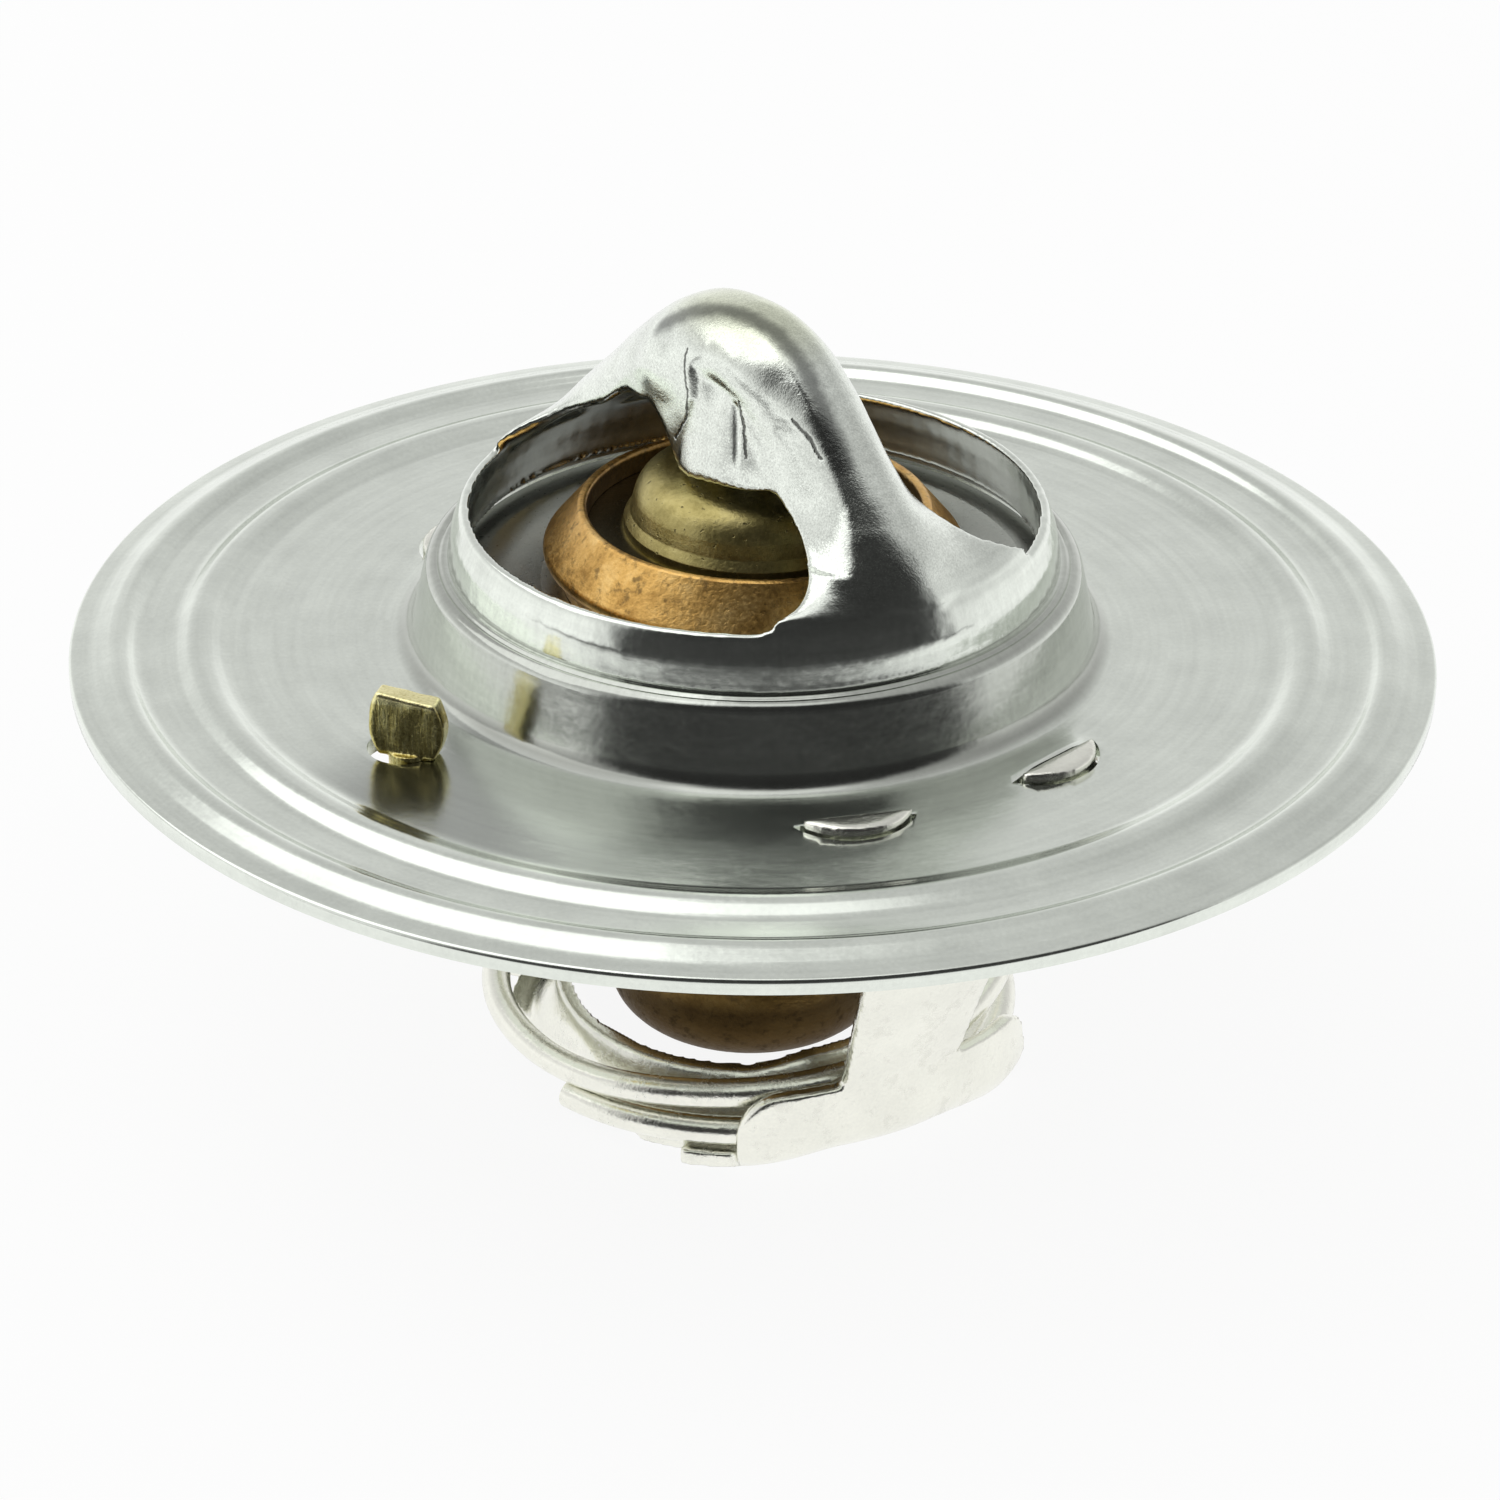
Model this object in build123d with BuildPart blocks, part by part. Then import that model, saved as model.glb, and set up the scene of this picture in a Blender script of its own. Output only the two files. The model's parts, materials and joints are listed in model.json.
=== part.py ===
from build123d import *

import os
from math import asin, atan2, cos, degrees, hypot, pi, radians, sin, tan

# Engine thermostat, cold and closed, in millimetres. The origin is on the axis at the flange's
# top face and +Z points towards the bridge. Azimuths are degrees about +Z from +X.

# Flange and its two raised rings
flange_sheet = 0.8
flange_radius = 32.0
bead_height = 0.45
bead_half_width = 1.25
bead_margin = 0.88
bead_spacing = 4.57

# Neck, drawn up in two steps: each radius is given as its growth on the one above it
rim_radius = 13.66
rim_height = 6.4
rim_sheet = 0.46
curl_growth = 0.46
curl_drop = 1.2
curl_bend = 1.6
waist_growth = 0.23
waist_bend = 0.25
step_growth = 0.9
step_height = 3.7
step_rise = 0.15
step_bend = 0.5
foot_growth = 0.9
foot_bend = 0.8
neck_sheet = 0.65

# Bridge over the neck
bridge_azimuth = -55.0
bridge_sheet = 0.7
bridge_root = 0.2
crown_rise = 10.2
crown_bend = 8.2
haunch_inset = 0.46
haunch_rise = 2.0930
haunch_bend = 3.3
strap_half_width = 3.6
strap_round = 3.2
skirt_rise = 3.4
skirt_inset = 4.26
skirt_slope = 35.0
skirt_edge_inset = 0.36
skirt_bend = 0.8
window_corner = 3.0
blend_offset = 0.02
edge_tolerance = 0.01

# Edge of the strap over each window, on the vent pin's side: distance along the strap as a share
# of the rim's radius, and height over the rim
window_left = [(-0.86, -0.2), (-0.82, 0.6), (-0.71, 1.9), (-0.571, 2.8), (-0.403, 4.1), (-0.307, 4.2)]
window_step = [(-0.307, 4.2), (-0.19, 3.9), (-0.139, 3.1), (-0.102, 2.45), (-0.029, 2.25)]
window_right = [(-0.029, 2.25), (0.212, 2.9), (0.366, 3.5), (0.483, 3.95), (0.556, 3.5), (0.695, 1.6), (0.86, -0.2)]

# Wax element
cup_radius = 6.85
cup_sheet = 0.7
cup_lift = 1.5
cup_corner = 2.2
crimp_waist_growth = 2.15
crimp_growth = 1.0
crimp_waist_rise = 0.45
crimp_widest_rise = 1.6
crimp_lip_inset = 2.2
crimp_lip_width = 0.4
crimp_lip_rise = 1.05
fit_gap = 0.03
stack_inset = 0.1
sleeve_flange = 0.8
washer_sheet = 0.4
guide_flange = 0.7
guide_inset = 1.7
guide_shoulder = 0.45
guide_neck_inset = 0.3
guide_height = 3.35
guide_crown_fall = 0.6
guide_crown_bend = 1.8
pin_radius = 1.95
pin_gap = 0.06
pin_taper = 2.5
pin_tip_radius = 0.9
pin_chamfer = 1.2
pin_top_gap = 0.15
pin_tip_gap = 2.9
sleeve_wall = 1.39
sleeve_lift = 4.5
sleeve_end = 1.6

# Coil spring and valve plate
wire = 1.4
spring_radius = 12.4
active_turns = 2.6
end_turns = 1.0
spring_start = -133.0
seat_clearance = 0.06
plate_side_gap = 0.4
plate_sheet = 0.9
plate_land = 1.4
plate_dish = 0.3
plate_dish_growth = 1.0
hub_sheet = 0.8
hub_length = 2.2

# Frame below the flange
frame_sheet = 0.8
base_bottom = -22.0
spring_side_gap = 0.3
collar_gap = 1.8
collar_height = 3.1
collar_splay = 1.2
collar_bend = 1.2
band_height = 4.5
band_bend = 1.9
band_corner = 2.3
base_margin = 0.4
bar_azimuth = -59.0
bar_margin = 0.4
bar_corner_start = -104.0
bar_corner_inset = 1.1
contact_gap = 0.04
slot_clearance = 0.15
lug_rise = 0.48
lug_bend = 2.95
lug_depth = 1.45
head_drop = 3.2
head_margin = 8.0
front_lugs = [(-76.3, 4.6), (-44.3, 4.25)]
front_head_offset = 4.05
front_leg_azimuth = -58.75
front_leg_half_angle = 12.75
front_band_start = -92.0
front_band_end = -20.0
back_lugs = [(122.0, 2.15), (149.0, 2.15)]
back_head_offset = 1.75
back_leg_azimuth = 137.5
back_leg_half_angle = 12.5
back_band_start = 94.0
back_band_end = 162.0

# Vent pin in the flange
vent_azimuth = -141.5
vent_offset = 3.78
vent_hole_radius = 1.65
vent_shank_radius = 0.94
vent_lean_azimuth = -63.0
vent_head_overlap = 0.1
vent_head_foot = 1.3
vent_head_top = 1.35
vent_head_thickness = 1.15
vent_head_height = 2.95
vent_head_turn = -14.0
vent_rest_gap = 0.04
vent_travel = 1.4
vent_foot_overlap = 0.95
vent_foot_sheet = 1.2
vent_edge = 0.2

os.makedirs("parts", exist_ok=True)

# Radii and heights that follow from the ones above
outer_bead_radius = flange_radius - bead_margin - bead_half_width
inner_bead_radius = outer_bead_radius - bead_spacing
curl_radius = rim_radius + curl_growth
curl_height = rim_height - curl_drop
waist_radius = curl_radius + waist_growth
step_radius = waist_radius + step_growth
neck_foot_radius = step_radius + foot_growth
bridge_base = rim_height - bridge_root
crown_height = rim_height + crown_rise
crown_centre = crown_height - crown_bend
haunch_radius = rim_radius - haunch_inset
haunch_height = rim_height + haunch_rise
haunch_fall = haunch_height - crown_centre
flank_slope = asin(crown_bend / hypot(haunch_radius, haunch_fall)) - atan2(haunch_fall, haunch_radius)
crimp_waist_radius = cup_radius + crimp_waist_growth
crimp_radius = crimp_waist_radius + crimp_growth
crimp_lip_radius = crimp_radius - crimp_lip_inset
stack_radius = crimp_waist_radius - stack_inset
guide_radius = crimp_lip_radius - guide_inset
guide_neck_radius = guide_radius - guide_neck_inset
cup_bore = cup_radius - cup_sheet
pin_bore = pin_radius + pin_gap
sleeve_radius = pin_bore + sleeve_wall
seat_height = step_height - flange_sheet
plate_radius = step_radius - neck_sheet - plate_side_gap
plate_dish_radius = crimp_waist_radius + plate_dish_growth
plate_top = seat_height - seat_clearance
plate_bottom = plate_top - plate_sheet
shoulder_bottom = plate_top - plate_dish + contact_gap
shoulder_top = shoulder_bottom + cup_sheet
sleeve_flange_top = shoulder_top + fit_gap + sleeve_flange
washer_top = sleeve_flange_top + fit_gap + washer_sheet
guide_flange_bottom = washer_top + fit_gap
guide_flange_top = guide_flange_bottom + guide_flange
lip_bottom = guide_flange_top + fit_gap
lip_top = lip_bottom + crimp_lip_rise
base_top = base_bottom + frame_sheet
cup_bottom = base_bottom + cup_lift
sleeve_bottom = cup_bottom + sleeve_lift
pin_bottom = sleeve_bottom + sleeve_end + pin_tip_gap + pin_taper
band_radius = spring_radius + wire / 2 + spring_side_gap + frame_sheet
base_radius = band_radius - band_bend - base_margin
collar_radius = cup_radius + collar_gap
bar_half_width = collar_radius + frame_sheet + bar_margin
bar_corner_radius = band_radius - bar_corner_inset
head_top = -flange_sheet - contact_gap
vent_x = (neck_foot_radius + vent_offset) * cos(radians(vent_azimuth))
vent_y = (neck_foot_radius + vent_offset) * sin(radians(vent_azimuth))
vent_play = vent_hole_radius - vent_shank_radius - contact_gap
shank_x = vent_x + vent_play * cos(radians(vent_lean_azimuth))
shank_y = vent_y + vent_play * sin(radians(vent_lean_azimuth))
vent_head_half_width = vent_hole_radius + vent_head_overlap
vent_foot_radius = vent_hole_radius + vent_foot_overlap


def upright(azimuth):
    """Plane through the axis: local x outwards at the azimuth, local y up."""
    turn = radians(azimuth)
    return Plane(origin=(0, 0, 0), x_dir=(cos(turn), sin(turn), 0), z_dir=(sin(turn), -cos(turn), 0))


def level(azimuth, height):
    """Level plane on the axis with local x at the azimuth."""
    turn = radians(azimuth)
    return Plane(origin=(0, 0, height), x_dir=(cos(turn), sin(turn), 0), z_dir=(0, 0, 1))


# ---- flange, neck and bridge: one stamping ----


def strap_body(inset, edge_radius):
    """Solid below the strap: a round-backed arch with a spreading skirt at each foot."""
    half_width = strap_half_width - inset
    crown = crown_height - inset
    bend = crown_bend - inset
    flank_radius = bend * sin(flank_slope)
    flank_height = crown_centre + bend * cos(flank_slope)
    haunch = haunch_radius - inset
    haunch_level = flank_height - (haunch - flank_radius) * tan(flank_slope)
    with BuildPart() as arch:
        with BuildSketch(upright(bridge_azimuth)):
            with BuildLine():
                CenterArc((0, crown_centre), bend, 90 - degrees(flank_slope), degrees(flank_slope))
                FilletPolyline(
                    (flank_radius, flank_height),
                    (haunch, haunch_level),
                    (edge_radius, bridge_base),
                    radius=haunch_bend,
                )
                Polyline((edge_radius, bridge_base), (0, bridge_base), (0, crown))
            make_face()
        revolve(axis=Axis.Z)
        with BuildSketch(level(bridge_azimuth, bridge_base)):
            Rectangle(2 * flange_radius, 2 * half_width)
        extrude(amount=crown_height, mode=Mode.INTERSECT)
        across = level(bridge_azimuth, 0).y_dir
        crest = [
            edge
            for edge in arch.edges()
            if abs(abs(edge.center().dot(across)) - half_width) < edge_tolerance
            and edge.center().Z > bridge_base + edge_tolerance
        ]
        fillet(crest, radius=strap_round - inset)
    skirt_fall = tan(radians(skirt_slope))
    skirt_top = rim_height + skirt_rise - inset + (rim_radius - skirt_inset) * skirt_fall
    skirt_edge = rim_radius - skirt_edge_inset - inset
    skirt_edge_height = skirt_top - skirt_edge * skirt_fall
    with BuildPart() as skirt:
        with BuildSketch(upright(bridge_azimuth)):
            with BuildLine():
                FilletPolyline(
                    (0, skirt_top),
                    (skirt_edge, skirt_edge_height),
                    (edge_radius - blend_offset, bridge_base),
                    radius=skirt_bend,
                )
                Polyline((edge_radius - blend_offset, bridge_base), (0, bridge_base), (0, skirt_top))
            make_face()
        revolve(axis=Axis.Z)
        with BuildSketch(level(bridge_azimuth, bridge_base)) as spread:
            # Between the windows: the strap, and the wall it runs into round a corner of each window
            Circle(flange_radius)
            Circle(rim_radius + inset, mode=Mode.SUBTRACT)
            Rectangle(2 * rim_radius + 2 * inset + 2 * window_corner, 2 * (half_width - blend_offset))
            corners = [
                corner
                for corner in spread.vertices()
                if corner.center().length < rim_radius + inset + edge_tolerance
            ]
            fillet(corners, radius=window_corner + inset)
        extrude(amount=crown_height, mode=Mode.INTERSECT)
    return arch.part + skirt.part


def sector(start, arc, points):
    """Sheet section in the upright plane at start, turned about the axis through arc degrees."""
    with BuildPart() as swept:
        with BuildSketch(upright(start)):
            with BuildLine():
                Polyline(*points, close=True)
            make_face()
        revolve(axis=Axis.Z, revolution_arc=arc)
    return swept.part


def lug(azimuth, offset, bottom, top, margin):
    """Upright lug, offset from the neck's foot, with a round outer face and a flat inner one."""
    radius = neck_foot_radius + offset
    with BuildPart() as post:
        with BuildSketch(level(azimuth, bottom)):
            with Locations((radius - lug_bend, 0)):
                Circle(lug_bend + margin)
            with Locations((radius - lug_depth - margin, 0)):
                Rectangle(radius, 4 * lug_bend, align=(Align.MIN, Align.CENTER), mode=Mode.INTERSECT)
        extrude(amount=top - bottom)
    return post.part


outer_strap = strap_body(0, rim_radius)
inner_strap = strap_body(bridge_sheet, rim_radius - rim_sheet)

with BuildPart() as flange_and_neck:
    with BuildSketch(upright(0)):
        with BuildLine():
            Line((flange_radius, -flange_sheet), (flange_radius, 0))
            Line((flange_radius, 0), (outer_bead_radius + bead_half_width, 0))
            ThreePointArc(
                (outer_bead_radius + bead_half_width, 0),
                (outer_bead_radius, bead_height),
                (outer_bead_radius - bead_half_width, 0),
            )
            Line((outer_bead_radius - bead_half_width, 0), (inner_bead_radius + bead_half_width, 0))
            ThreePointArc(
                (inner_bead_radius + bead_half_width, 0),
                (inner_bead_radius, bead_height),
                (inner_bead_radius - bead_half_width, 0),
            )
            FilletPolyline(
                (inner_bead_radius - bead_half_width, 0),
                (neck_foot_radius, 0),
                (step_radius, step_height),
                (waist_radius, step_height + step_rise),
                (curl_radius, curl_height),
                (rim_radius, rim_height),
                radius=[foot_bend, step_bend, waist_bend, curl_bend],
            )
            Line((rim_radius, rim_height), (rim_radius - rim_sheet, rim_height))
            FilletPolyline(
                (rim_radius - rim_sheet, rim_height),
                (curl_radius - neck_sheet, curl_height),
                (waist_radius - neck_sheet, seat_height),
                (step_radius - neck_sheet, seat_height),
                (neck_foot_radius - neck_sheet, -flange_sheet),
                (inner_bead_radius - bead_half_width, -flange_sheet),
                radius=[curl_bend, waist_bend + neck_sheet, waist_bend, foot_bend + flange_sheet],
            )
            ThreePointArc(
                (inner_bead_radius - bead_half_width, -flange_sheet),
                (inner_bead_radius, bead_height - flange_sheet),
                (inner_bead_radius + bead_half_width, -flange_sheet),
            )
            Line(
                (inner_bead_radius + bead_half_width, -flange_sheet),
                (outer_bead_radius - bead_half_width, -flange_sheet),
            )
            ThreePointArc(
                (outer_bead_radius - bead_half_width, -flange_sheet),
                (outer_bead_radius, bead_height - flange_sheet),
                (outer_bead_radius + bead_half_width, -flange_sheet),
            )
            Line((outer_bead_radius + bead_half_width, -flange_sheet), (flange_radius, -flange_sheet))
        make_face()
    revolve(axis=Axis.Z)


def window_edge(points):
    """Points of the window's edge in the upright plane along the strap."""
    return [(share * rim_radius, rim_height + rise) for share, rise in points]


with BuildPart() as window:
    with BuildSketch(upright(bridge_azimuth)):
        with BuildLine():
            left = Spline(*window_edge(window_left))
            Spline(*window_edge(window_step))
            right = Spline(*window_edge(window_right))
            Line(left @ 0, right @ 1)
        make_face()
    extrude(amount=2 * rim_radius)

with BuildPart() as strap:
    add(outer_strap)
    add(inner_strap, mode=Mode.SUBTRACT)
    add(window.part, mode=Mode.SUBTRACT)
    add(window.part.rotate(Axis.Z, 180), mode=Mode.SUBTRACT)

with BuildPart() as flange_and_bridge:
    add(flange_and_neck.part)
    add(strap.part)
    # Hole for the vent pin, and a slot for each frame tab
    with Locations((vent_x, vent_y, -flange_sheet / 2)):
        Cylinder(vent_hole_radius, 4 * flange_sheet, mode=Mode.SUBTRACT)
    for lug_azimuth, lug_offset in front_lugs + back_lugs:
        add(lug(lug_azimuth, lug_offset, -2 * flange_sheet, flange_sheet, slot_clearance), mode=Mode.SUBTRACT)


# ---- frame that carries the spring ----


def leg_section(head_radius, bottom, top):
    """Corners of the sloping leg between two heights."""
    foot_height = base_bottom + band_height
    slope = (head_radius - band_radius) / (head_top - foot_height)
    low = band_radius + slope * (bottom - foot_height)
    high = band_radius + slope * (top - foot_height)
    return [(low - frame_sheet, bottom), (low, bottom), (high, top), (high - frame_sheet, top)]


with BuildPart() as base:
    # Flat floor with its centre drawn up into a collar round the cup
    collar_top = base_bottom + collar_height
    with BuildSketch(upright(0)):
        with BuildLine():
            FilletPolyline(
                (base_radius, base_bottom),
                (collar_radius + collar_splay, base_bottom),
                (collar_radius, collar_top),
                radius=collar_bend,
            )
            Line((collar_radius, collar_top), (collar_radius + frame_sheet, collar_top))
            FilletPolyline(
                (collar_radius + frame_sheet, collar_top),
                (collar_radius + collar_splay + frame_sheet, base_top),
                (base_radius, base_top),
                radius=collar_bend - frame_sheet,
            )
            Line((base_radius, base_top), (base_radius, base_bottom))
        make_face()
    revolve(axis=Axis.Z)
    # The base is a bar from wall to wall, little wider than the collar
    with BuildSketch(level(bar_azimuth, base_bottom)):
        Rectangle(2 * band_radius, 2 * bar_half_width)
    extrude(amount=collar_height, mode=Mode.INTERSECT)


def band(start, end, height):
    """Upright wall at the base's edge between two azimuths."""
    with BuildPart() as wall:
        with BuildSketch(upright(start)):
            with BuildLine():
                FilletPolyline(
                    (base_radius - frame_sheet, base_bottom),
                    (band_radius, base_bottom),
                    (band_radius, base_bottom + height),
                    radius=band_bend,
                )
                Line((band_radius, base_bottom + height), (band_radius - frame_sheet, base_bottom + height))
                FilletPolyline(
                    (band_radius - frame_sheet, base_bottom + height),
                    (band_radius - frame_sheet, base_top),
                    (base_radius - frame_sheet, base_top),
                    radius=band_bend - frame_sheet,
                )
                Line((base_radius - frame_sheet, base_top), (base_radius - frame_sheet, base_bottom))
            make_face()
        revolve(axis=Axis.Z, revolution_arc=end - start)
        top = wall.faces().sort_by(Axis.Z)[-1]
        ends = [edge for edge in top.edges() if abs(edge.length - frame_sheet) < edge_tolerance]
        fillet(ends, radius=band_corner)
    return wall.part


with BuildPart() as lower_frame:
    add(base.part)
    add(band(front_band_start, front_band_end, band_height))
    add(band(back_band_start, back_band_end, band_height))
    corner = [
        (base_radius - frame_sheet, base_bottom),
        (bar_corner_radius, base_bottom),
        (bar_corner_radius, base_top),
        (base_radius - frame_sheet, base_top),
    ]
    add(sector(bar_corner_start, front_band_start - bar_corner_start, corner))
    foot_height = base_bottom + band_height
    for leg_azimuth, leg_half_angle, head_offset, lugs in (
        (front_leg_azimuth, front_leg_half_angle, front_head_offset, front_lugs),
        (back_leg_azimuth, back_leg_half_angle, back_head_offset, back_lugs),
    ):
        head_radius = neck_foot_radius + head_offset
        leg = leg_section(head_radius, foot_height, head_top)
        add(sector(leg_azimuth - leg_half_angle, 2 * leg_half_angle, leg))
        head = leg_section(head_radius, head_top - head_drop, head_top)
        head_start = lugs[0][0] - head_margin
        add(sector(head_start, lugs[1][0] + head_margin - head_start, head))
        for lug_azimuth, lug_offset in lugs:
            add(lug(lug_azimuth, lug_offset, head_top, lug_rise, 0))


# ---- valve plate ----

with BuildPart() as valve_plate:
    plate_bore = cup_radius + contact_gap
    hub_radius = plate_bore + hub_sheet
    dish_top = plate_top - plate_dish
    dish_bottom = plate_bottom - plate_dish
    with BuildSketch(upright(0)):
        with BuildLine():
            Polyline(
                (plate_bore, dish_top),
                (plate_dish_radius, dish_top),
                (plate_radius - plate_land, plate_top),
                (plate_radius, plate_top),
                (plate_radius, plate_bottom),
                (spring_radius - wire, plate_bottom),
                (plate_dish_radius, dish_bottom),
                (hub_radius, dish_bottom),
                (hub_radius, dish_top - hub_length),
                (plate_bore, dish_top - hub_length),
                close=True,
            )
        make_face()
    revolve(axis=Axis.Z)


# ---- coil spring, right-handed, with a closed turn at each end ----

spring_bottom = base_top + contact_gap + wire / 2
spring_top = plate_bottom - contact_gap - wire / 2
end_pitch = wire + contact_gap
spring_turns = active_turns + 2 * end_turns
active_pitch = (spring_top - spring_bottom - 2 * end_turns * end_pitch) / active_turns
points_per_turn = 16
path_points = []
for step in range(round(spring_turns * points_per_turn) + 1):
    turns = step / points_per_turn
    if turns < end_turns:
        height = end_pitch * turns
    elif turns < end_turns + active_turns:
        height = end_pitch * end_turns + active_pitch * (turns - end_turns)
    else:
        height = spring_top - spring_bottom - end_pitch * (spring_turns - turns)
    turn = radians(spring_start) + 2 * pi * turns
    path_points.append((spring_radius * cos(turn), spring_radius * sin(turn), spring_bottom + height))

with BuildPart() as main_spring:
    with BuildLine() as spring_path:
        Spline(*path_points)
    with BuildSketch(Plane(origin=path_points[0], z_dir=spring_path.line % 0)):
        Circle(wire / 2)
    sweep(path=spring_path.line, transition=Transition.RIGHT)


# ---- wax element ----

with BuildPart() as wax_cup:
    crimp_bore = stack_radius + fit_gap
    with BuildSketch(upright(0)):
        with BuildLine():
            FilletPolyline(
                (0, cup_bottom),
                (cup_radius, cup_bottom),
                (cup_radius, shoulder_bottom),
                radius=cup_corner,
            )
            FilletPolyline(
                (cup_radius, shoulder_bottom),
                (crimp_waist_radius, shoulder_bottom),
                (crimp_waist_radius, shoulder_bottom + crimp_waist_rise),
                (crimp_radius, shoulder_bottom + crimp_widest_rise),
                (crimp_lip_radius + crimp_lip_width, lip_top),
                (crimp_lip_radius, lip_top),
                (crimp_lip_radius, lip_bottom),
                radius=[fit_gap, crimp_waist_rise / 2, crimp_waist_rise, crimp_lip_width / 2, crimp_lip_width / 2],
            )
            Polyline(
                (crimp_lip_radius, lip_bottom),
                (crimp_bore, lip_bottom),
                (crimp_bore, shoulder_top),
                (cup_bore, shoulder_top),
            )
            FilletPolyline(
                (cup_bore, shoulder_top),
                (cup_bore, cup_bottom + cup_sheet),
                (0, cup_bottom + cup_sheet),
                radius=cup_corner - cup_sheet,
            )
            Line((0, cup_bottom + cup_sheet), (0, cup_bottom))
        make_face()
    revolve(axis=Axis.Z)

with BuildPart() as rubber_sleeve:
    flange_low = shoulder_top + fit_gap
    with BuildSketch(upright(0)):
        with BuildLine():
            Polyline(
                (0, sleeve_bottom),
                (sleeve_radius, sleeve_bottom),
                (sleeve_radius, flange_low),
                (stack_radius, flange_low),
                (stack_radius, sleeve_flange_top),
                (pin_bore, sleeve_flange_top),
                (pin_bore, sleeve_bottom + sleeve_end),
                (0, sleeve_bottom + sleeve_end),
                close=True,
            )
        make_face()
    revolve(axis=Axis.Z)

with BuildPart() as wax_charge:
    wax_radius = cup_bore - fit_gap
    wax_bottom = cup_bottom + cup_sheet + fit_gap
    with BuildSketch(upright(0)):
        with BuildLine():
            FilletPolyline(
                (0, wax_bottom),
                (wax_radius, wax_bottom),
                (wax_radius, shoulder_top),
                radius=cup_corner - cup_sheet,
            )
            Polyline(
                (wax_radius, shoulder_top),
                (sleeve_radius + fit_gap, shoulder_top),
                (sleeve_radius + fit_gap, sleeve_bottom - fit_gap),
                (0, sleeve_bottom - fit_gap),
                (0, wax_bottom),
            )
        make_face()
    revolve(axis=Axis.Z)

with BuildPart() as backup_washer:
    with BuildSketch(Plane.XY.offset(sleeve_flange_top + fit_gap)):
        Circle(stack_radius)
        Circle(pin_bore, mode=Mode.SUBTRACT)
    extrude(amount=washer_sheet)

with BuildPart() as guide_cap:
    guide_top = guide_flange_top + guide_height
    with BuildSketch(upright(0)):
        with BuildLine():
            Polyline(
                (guide_radius, guide_flange_top),
                (stack_radius, guide_flange_top),
                (stack_radius, guide_flange_bottom),
                (pin_bore, guide_flange_bottom),
                (pin_bore, guide_top),
            )
            FilletPolyline(
                (pin_bore, guide_top),
                (guide_neck_radius - guide_shoulder, guide_top - guide_crown_fall),
                (guide_neck_radius, guide_flange_top + 2 * guide_shoulder),
                (guide_radius, guide_flange_top + guide_shoulder),
                (guide_radius, guide_flange_top),
                radius=[guide_crown_bend, guide_shoulder / 2, guide_shoulder / 4],
            )
        make_face()
    revolve(axis=Axis.Z)

with BuildPart() as piston_pin:
    pin_top = crown_height - bridge_sheet - pin_top_gap
    with BuildSketch(upright(0)):
        with BuildLine():
            Polyline(
                (0, pin_bottom - pin_taper),
                (pin_tip_radius, pin_bottom - pin_taper),
                (pin_radius, pin_bottom),
                (pin_radius, pin_top - pin_chamfer),
                (pin_radius - pin_chamfer, pin_top),
                (0, pin_top),
                close=True,
            )
        make_face()
    revolve(axis=Axis.Z)


# ---- vent pin ----

with BuildPart() as jiggle_pin:
    turn = radians(vent_head_turn)
    head_plane = Plane(
        origin=(shank_x, shank_y, 0), x_dir=(cos(turn), sin(turn), 0), z_dir=(sin(turn), -cos(turn), 0)
    )
    waist_height = vent_head_height / 2
    with BuildSketch(head_plane):
        with BuildLine():
            Line((-vent_head_foot, vent_rest_gap), (vent_head_foot, vent_rest_gap))
            ThreePointArc(
                (vent_head_foot, vent_rest_gap),
                (vent_head_half_width, waist_height),
                (vent_head_top, vent_head_height),
            )
            Line((vent_head_top, vent_head_height), (-vent_head_top, vent_head_height))
            ThreePointArc(
                (-vent_head_top, vent_head_height),
                (-vent_head_half_width, waist_height),
                (-vent_head_foot, vent_rest_gap),
            )
        make_face()
    extrude(amount=vent_head_thickness / 2, both=True)
    fillet(jiggle_pin.edges(), radius=vent_edge)
    foot_top = vent_rest_gap - flange_sheet - 2 * vent_rest_gap - vent_travel
    with BuildSketch(Plane(origin=(shank_x, shank_y, foot_top))):
        Circle(vent_shank_radius)
    extrude(amount=-foot_top + vent_edge + vent_rest_gap)
    with BuildSketch(Plane(origin=(shank_x, shank_y, foot_top - vent_foot_sheet))):
        Circle(vent_foot_radius)
    extrude(amount=vent_foot_sheet)
    fillet(jiggle_pin.edges().group_by(Axis.Z)[0], radius=vent_edge)


# ---- hand-over ----

flange_and_bridge.part.label = "flange_and_bridge"
lower_frame.part.label = "lower_frame"
main_spring.part.label = "main_spring"
valve_plate.part.label = "valve_plate"
wax_cup.part.label = "wax_cup"
rubber_sleeve.part.label = "rubber_sleeve"
wax_charge.part.label = "wax_charge"
backup_washer.part.label = "backup_washer"
guide_cap.part.label = "guide_cap"
piston_pin.part.label = "piston_pin"
jiggle_pin.part.label = "jiggle_pin"

export_step(flange_and_bridge.part, "parts/flange_and_bridge.step")
export_step(lower_frame.part, "parts/lower_frame.step")
export_step(main_spring.part, "parts/main_spring.step")
export_step(valve_plate.part, "parts/valve_plate.step")
export_step(wax_cup.part, "parts/wax_cup.step")
export_step(rubber_sleeve.part, "parts/rubber_sleeve.step")
export_step(wax_charge.part, "parts/wax_charge.step")
export_step(backup_washer.part, "parts/backup_washer.step")
export_step(guide_cap.part, "parts/guide_cap.step")
export_step(piston_pin.part, "parts/piston_pin.step")
export_step(jiggle_pin.part, "parts/jiggle_pin.step")
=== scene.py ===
import json
import math

import bmesh
import bpy
import numpy as np
from mathutils import Matrix, Vector, noise


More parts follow.
